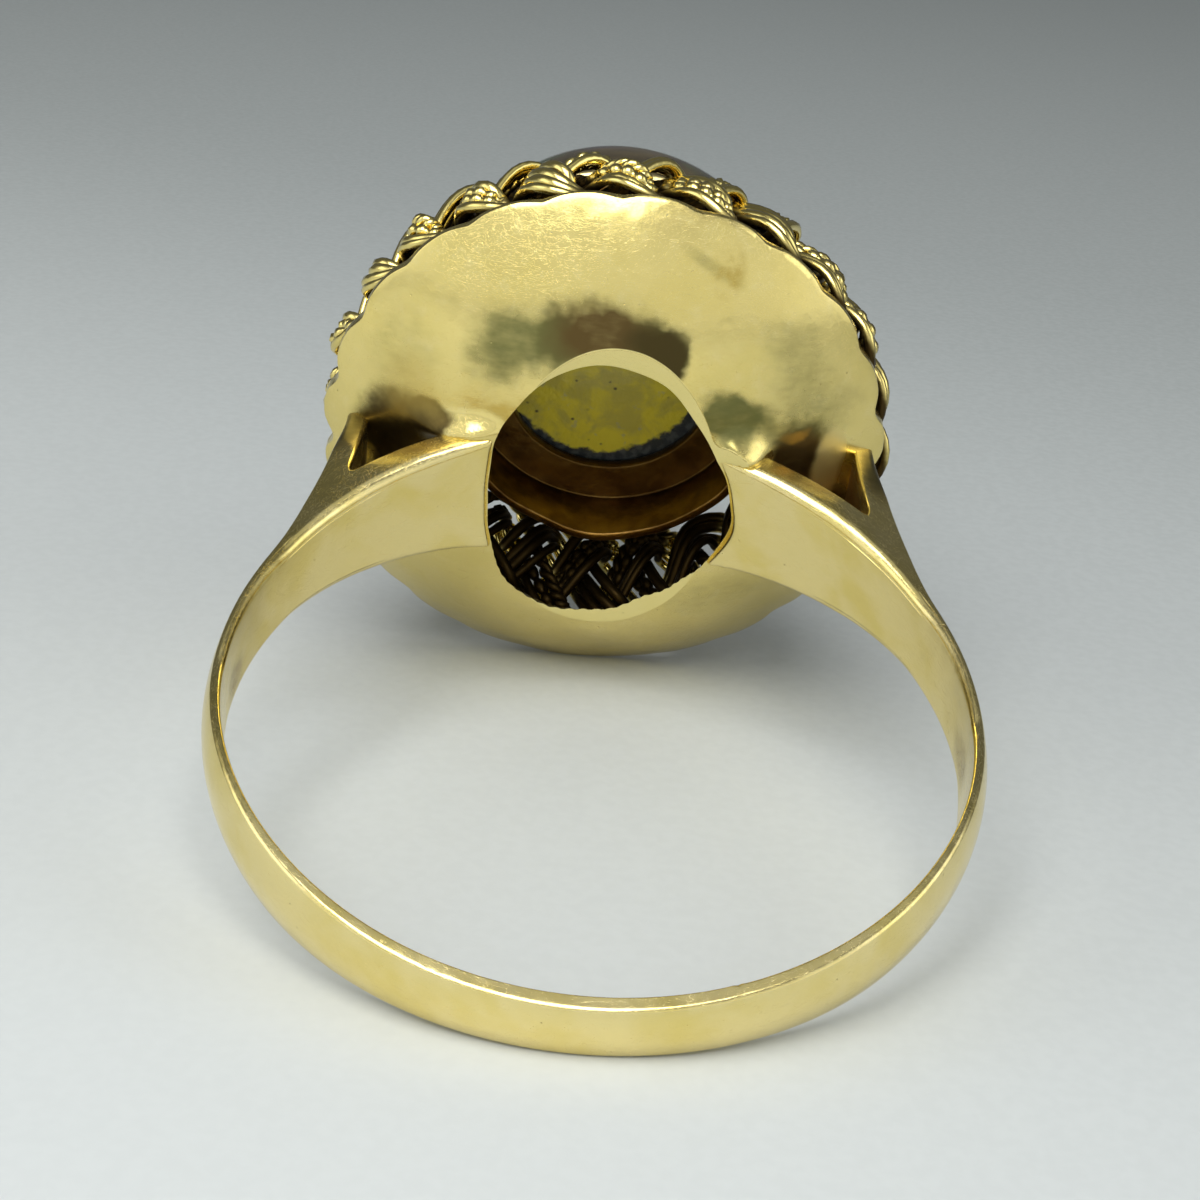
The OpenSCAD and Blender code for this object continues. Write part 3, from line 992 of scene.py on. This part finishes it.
# %% The cup's stains
# colours of the tarnish, which also serve for the painted shade and the painted reflection
OLIVE, BROWN, NEARLY_BLACK = (0.155, 0.155, 0.052, 1), (0.105, 0.064, 0.022, 1), (0.05, 0.035, 0.012, 1)
cup_gold, place = new_finish("cup_gold")
wander = []
for scale, reach in ((0.8, 1.15), (2.6, 0.22)):
    cloud = add("TexNoise", {"Vector": place, "Scale": scale, "Detail": 3.0}).outputs["Color"]
    wander.append(scaled(vectors("SUBTRACT", cloud, (0.5, 0.5, 0.5)), reach))
wander = vectors("ADD", *wander)
moved = vectors("ADD", place, wander)
slightly_moved = vectors("ADD", place, scaled(wander, 0.35))
# round the top of the hole, tarnish and a painted reflection of the dark camera: olive at the left, brown in the
# middle, nearly black at the right
hole_left_stain_and_reflection = spots((moved, (-3.1, 9.0, 4.1), (0.8, 1.2, 0.8), 0.75),
                        (moved, (-2.1, 8.9, 4.5), (0.75, 1.2, 0.8), 0.7))
hole_top_stain_and_reflection = spots((moved, (-1.15, 8.9, 4.8), (0.8, 1.2, 0.8), 0.7),
                       (moved, (-0.1, 8.9, 4.75), (0.85, 1.2, 0.8), 0.7))
hole_right_stain_and_reflection = spots((moved, (0.75, 8.9, 4.65), (0.7, 1.2, 0.65), 0.7),
                         (moved, (1.2, 8.9, 4.4), (0.5, 1.2, 0.6), 0.6))
hole_right_stain_and_reflection = times(hole_right_stain_and_reflection, spot(place, (0.7, 8.8, 4.1), (1.25, 1.4, 1.25), 0.3))
# inside the forks, tarnish and painted shade, with a pale patch at the right one
fork_l_stain_and_shade = spots((moved, (-5.5, 9.3, 0.95), (1.35, 1.3, 1.3), 0.35), (moved, (-4.75, 8.9, 1.8), (0.55, 0.8, 0.5), 0.5),
               (place, (-5.6, 9.3, -1.2), (1.3, 1.3, 1.1), 0.4))
fork_r_stain_and_shade = spots((moved, (4.85, 9.0, 1.7), (0.85, 0.9, 0.85), 0.6), (moved, (4.6, 9.0, 0.9), (0.8, 0.9, 0.8), 0.5),
               (place, (5.6, 9.3, -0.7), (1.2, 1.3, 1.1), 0.3))
pale = spot(slightly_moved, (5.75, 9.45, 1.05), (0.5, 0.8, 0.95), 0.3)
# beside the hole, a painted shadow below it, and a thin haze higher up
beside = spots((moved, (3.25, 8.5, 2.65), (0.85, 0.7, 0.55), 0.5), (moved, (2.7, 8.5, 3.1), (0.5, 0.6, 0.45), 0.6))
below = spot(moved, (3.0, 8.9, -3.2), (1.5, 1.2, 0.9), 0.6)
streak = spot(stretched(place, (1, 1, 1), (0, -0.5, 0)), (-1.35, 9.8, 6.6), (0.95, 1.2, 0.16), 0.7)
haze = together((spot(moved, (-5.6, 9.6, 3.2), (1.1, 1.2, 1.3), 0.7), 0.7),
                (spot(moved, (4.4, 9.5, 4.3), (0.9, 1.2, 1.0), 0.8), 0.9),
                (spot(moved, (5.1, 9.6, 2.7), (1.3, 1.3, 1.0), 0.7), 1))
# all the dark marks together: tarnish, painted shade and the painted reflection
dark = together((hole_left_stain_and_reflection, 0.75), (hole_top_stain_and_reflection, 0.87), (hole_right_stain_and_reflection, 0.97), (fork_l_stain_and_shade, 0.97),
                (times(fork_r_stain_and_shade, rest_of(times(pale, 0.8))), 0.88),
                (beside, 0.85), (below, 0.3), (streak, 0.35), (haze, 0.42))
print("the cup's stains:", len(tree.nodes), "nodes")

# %% The cup's gold
# the drum that ground the finger hole has taken the stain off the strip beside the sawn hole; the painted shade
# and reflection are left off it too
parts = parts_of(place)
past_straight = most(less(maths("ABSOLUTE", parts[2]), BORE_STRAIGHT), 0.0)
from_finger = less(length_of(parts[0], parts[1], 0.0), FINGER_R)
above_strip = less(from_finger, times(past_straight, BORE_FLARE))
strip = rest_of(fade(above_strip, 0.004, 0.02))
stain_and_shade_colour = layered(OLIVE, (most(hole_top_stain_and_reflection, fork_l_stain_and_shade, fork_r_stain_and_shade), BROWN),
                (most(times(fork_l_stain_and_shade, 0.8), hole_right_stain_and_reflection), NEARLY_BLACK))
surface = use_group(worn, {"Place": place, "Grain": place, "Gold": (0.84, 0.685, 0.255, 1), "Stain": stain_and_shade_colour,
                                 "Dirt": times(dark, rest_of(strip)), "Polish": 0.18})
dent = spot(place, (2.45, 10.05, 6.3), (0.36, 0.6, 0.6), 0.6)
ochre = spot(moved, (-5.2, 9.4, 2.4), (0.9, 0.8, 0.8), 0.7)
amber = spot(moved, (4.75, 9.1, 2.25), (0.4, 0.4, 0.16), 0.6)
dent_dirt = times(dent, plus(fade(noise(place, 2.2, 4), 0.35, 0.7), 0.15))
colour = layered(surface["Colour"], (dent_dirt, (0.58, 0.43, 0.11, 1)), (times(ochre, 0.5), (0.62, 0.45, 0.12, 1)),
                 (times(amber, 0.55), (0.70, 0.38, 0.06, 1)), (times(strip, 0.5), (0.90, 0.79, 0.36, 1)),
                 (times(pale, 0.45), (0.88, 0.72, 0.34, 1)))
rough = weighed((surface["Roughness"], 1), (strip, -0.06), (pale, 0.22))
height = weighed((surface["Height"], 1), (dent, -0.02))
finish_surface(cup_gold, colour, rough, height)

# %% [markdown]
# ### The wires' gold
# The wires are bright where fingers and cloths rub them, and on the side that faces the stone they are painted
# nearly black, as grime and painted shade. The same group does both: the darkening grows with the distance
# inwards from the plait's middle layer.

# %% The wires' gold
wire_gold, place = new_finish("wire_gold")
parts = parts_of(place)
rho = length_of(less(parts[0], STONE_X), 0.0, parts[2])
outward = weighed((less(rho, PLAIT_R), math.sin(SLOPE)), (less(parts[1], PLAIT_H), -math.cos(SLOPE)))
# painted shade and grime on the side of the wires that faces the stone
inside = rest_of(fade(outward, -0.08, 0.28))
surface = use_group(worn, {"Place": place, "Grain": place, "Gold": (0.87, 0.71, 0.25, 1), "Polish": 0.13,
                                 "Stain": (0.028, 0.013, 0.004, 1), "Dirt": inside, "Scratches": 0.3})
rough = weighed((surface["Roughness"], 1), (inside, 0.22))
finish_surface(wire_gold, surface["Colour"], rough, surface["Height"])

# %% [markdown]
# ### The dark collet
# The collet was never polished after it was soldered. Its gold is covered by a brown skin from the torch, which
# is rubbed through to bright metal only along its edges. The underside of its ledge, deep in the hole, is painted
# nearly black as shade.

# %% The collet's gold
collet_gold, place = new_finish("collet_dark_gold")
h = parts_of(place)[1]
rubbed_through = fade(noise(place, 1.6, 6, 0.6), 0.52, 0.75)
torch_skin_and_shade = layered((0.15, 0.075, 0.02, 1), (fade(noise(place, 0.9, 4), 0.35, 0.65), (0.36, 0.20, 0.05, 1)),
               (times(rubbed_through, 0.4), (0.5, 0.29, 0.06, 1)),
               # painted shade: the underside of the ledge is darkened nearly black
               (times(fade(h, 13.25, 13.56), 0.7), (0.035, 0.018, 0.005, 1)),
               (fade(h, 14.9, 15.25), (0.84, 0.68, 0.30, 1)))
rough = weighed((0.24, 1), (noise(place, 5, 4), 0.16))
height = weighed((noise(place, 1.3, 3), 0.05), (noise(place, 9, 4), 0.006))
finish_surface(collet_gold, torch_skin_and_shade, rough, height)

# %% [markdown]
# ### The opal's finish
# The stone's back is a crust of pale olive potch with grey clouds and dark specks, and it stops at a ragged edge.
# Past it the stone is dark. The dome is nearly black brown, and patches of dim colour lie deep in it.

# %% The opal's finish
opal_finish, place = new_finish("dark_opal", metallic=0.0, Coat_Weight=0.3, Coat_Roughness=0.05, IOR=1.45)
parts = parts_of(place)
# the potch lies a little off the stone's middle
ragged = length_of(plus(parts[0], 0.32), 0.0, less(parts[2], 0.2))
ragged = weighed((ragged, 1), (less(noise(place, 3.2, 4), 0.5), 0.5))
potch = times(rest_of(fade(ragged, 2.72, 2.86)),
              rest_of(fade(parts[1], BACK_H + 0.02, BACK_H + 0.1)))
specks = add("TexVoronoi", {"Vector": place, "Scale": 2.3}).outputs["Distance"]
specks = times(rest_of(fade(specks, 0.04, 0.17)), fade(noise(place, 1.3, 2), 0.48, 0.6))
potch_colour = layered((0.90, 0.755, 0.055, 1), (fade(noise(place, 1.1, 6, 0.5), 0.4, 0.62), (0.68, 0.575, 0.085, 1)),
                       (fade(noise(place, 2.4, 5), 0.62, 0.8), (0.55, 0.52, 0.28, 1)),
                       (specks, (0.12, 0.10, 0.04, 1)))
rind = mixed(fade(noise(place, 4.0, 4), 0.4, 0.6), (0.035, 0.04, 0.045, 1), (0.09, 0.10, 0.10, 1))
body = mixed(fade(noise(place, 0.5, 3), 0.35, 0.65), (0.03, 0.021, 0.008, 1), (0.085, 0.06, 0.022, 1))
flash_cells = add("TexVoronoi", {"Vector": place, "Scale": 0.75, "Randomness": 1.0}, feature="SMOOTH_F1")
flash = add("ValToRGB", {"Fac": flash_cells.outputs["Distance"]})
ramp = flash.color_ramp.elements
ramp[0].color = (0.02, 0.16, 0.14, 1)
ramp[1].color = (0.02, 0.05, 0.16, 1)
ramp[1].position = 0.75
for position, colour in ((0.3, (0.05, 0.22, 0.06, 1)), (0.5, (0.22, 0.12, 0.02, 1))):
    ramp.new(position).color = colour
glow = times(fade(noise(place, 0.8, 5, 1.0), 0.48, 0.66), fade(parts[1], 16.5, 19.5))
dome_colour = mixed(times(glow, 0.7), body, flash.outputs["Color"])
back = rest_of(fade(parts[1], BACK_H + 0.05, BACK_H + 0.3))
colour = layered(dome_colour, (back, rind), (potch, potch_colour))
rough = weighed((back, 0.3), (0.12, 1))
height = times(noise(place, 6, 5), 0.03, back)
finish_surface(opal_finish, colour, rough, height)

# %% [markdown]
# ## Joining the pieces to the part
# Each piece gets its one finish, and the plain solid that it stands for is hidden. Nothing on the ring moves, so
# all the pieces ride on the one root body.

# %% Give each piece its finish and tie it to the frame
for piece, finish, node, slot in (
        (bar, band_gold, "ring_mount", "gold"), (cup, cup_gold, "ring_mount", "gold"),
        (collet, collet_gold, "collet", "collet_gold"), (opal, opal_finish, "opal", "opal"),
        *((strand, wire_gold, f"braid_strand_{i + 1}", "gold") for i, strand in enumerate(strands))):
    piece.data.materials.clear()
    piece.data.materials.append(finish)
    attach(piece, "root")
    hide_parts(node)
    print(f"{piece.name} has {finish.name} and stands for {node}")

# %% [markdown]
# ## The floor and the camera
# The ring lies on pale paper with a fine tooth. Its colour is painted darker away from the camera, as painted
# shade for the falloff of the light. The floor is only a stage and is left out of the part. The camera stands
# where the picture was taken.

# %% Floor
nothing_selected()
floor_z = cad_box[0][2]
bpy.ops.mesh.primitive_plane_add(size=3, location=(0, 0.3, floor_z))
floor = bpy.context.object
floor.name = "floor"
bpy.ops.object.transform_apply(location=True, rotation=True, scale=True)
paper, place = new_finish("pale_paper", metallic=0.0)
tooth = noise(place, 3.0, 4)
parts = parts_of(place)
depth = weighed((parts[1], 1), (parts[0], 0.45))
# painted shade: the paper darkens towards the back and the right, for the falloff of the light
colour = layered((0.70, 0.73, 0.725, 1), (fade(depth, -70.0, 85.0), (0.365, 0.39, 0.385, 1)),
                 (times(fade(tooth, 0.3, 0.7), 0.12), (0.72, 0.75, 0.745, 1)))
finish_surface(paper, colour, weighed((0.55, 1), (tooth, 0.1)), times(tooth, 0.004))
floor.data.materials.append(paper)
print("floor at", round(floor_z * 1000, 2), "mm")

# %% Camera


def from_upright(v):
    """A direction or place of the upright ring, once it is laid down."""
    return Vector((v[0], v[1] * math.cos(LIE) - v[2] * math.sin(LIE), v[1] * math.sin(LIE) + v[2] * math.cos(LIE)))


right = from_upright((0.9958, 0.0312, 0.0866)).normalized()
look = from_upright((0.0333, 0.7550, -0.6549)).normalized()
up = right.cross(look).normalized()
nothing_selected()
bpy.ops.object.camera_add()
camera = bpy.context.object
camera.matrix_world = Matrix.Translation(from_upright((-1.8376, -35.6453, 34.6881)) * 0.001) @ Matrix(
    (right, up, -look)).transposed().to_4x4()
camera.data.lens = 63.816
camera.data.sensor_width = 36
camera.data.clip_start = 0.002
camera.data.clip_end = 20
bpy.context.scene.camera = camera
print("camera at", np.round(np.array(camera.matrix_world.translation) * 1000, 1), "mm")

# %% [markdown]
# ## Light
# Polished gold shows what stands round it. The room is pale in front and at both sides, and darker behind and
# above, so the gold has bright and dark sides. Soft boxes at both sides and one close above give the highlights.

# %% Light
ROOM_TINT = 1.04       # how much more green and blue than red the room gives
world = bpy.data.worlds.new("soft_room")
bpy.context.scene.world = world
world.use_nodes = True
tree = world.node_tree
way = parts_of(add("TexCoord").outputs["Generated"])
toward = times(way[1], -1.0)
low = rest_of(times(fade(way[2], 0.25, 0.85), 0.85))
front = times(fade(toward, -0.5, 0.6), 0.62, low)
sides = times(fade(maths("ABSOLUTE", way[0]), 0.35, 0.85), fade(toward, -0.45, 0.05), 0.74)
overhead = times(fade(way[2], 0.895, 0.95), 0.31)
glow = plus(0.10, most(overhead, front, sides))
tinted = times(glow, ROOM_TINT)
room = add("CombineXYZ", {0: glow, 1: tinted, 2: tinted}).outputs[0]
tree.links.new(room, tree.nodes["Background"].inputs["Color"])
tree.nodes["Background"].inputs["Strength"].default_value = 1.1


def soft_box(name, place, size, power):
    """A square lamp that looks at the ring."""
    nothing_selected()
    bpy.ops.object.light_add(type="AREA", location=place)
    lamp = bpy.context.object
    lamp.name = name
    lamp.rotation_euler = (Vector((0, 0.005, 0)) - Vector(place)).to_track_quat("-Z", "Y").to_euler()
    lamp.data.shape = "SQUARE"
    lamp.data.size = size
    lamp.data.energy = power
    print(f"{name}: {size * 1000:.0f} mm wide, {power} W")


soft_box("left_box", (-0.26, -0.03, 0.14), 0.16, 0.06)
soft_box("right_box", (0.26, -0.03, 0.14), 0.16, 0.06)
soft_box("top_box", (-0.035, -0.105, 0.18), 0.17, 0.455)
bpy.context.scene.view_settings.view_transform = "Standard"
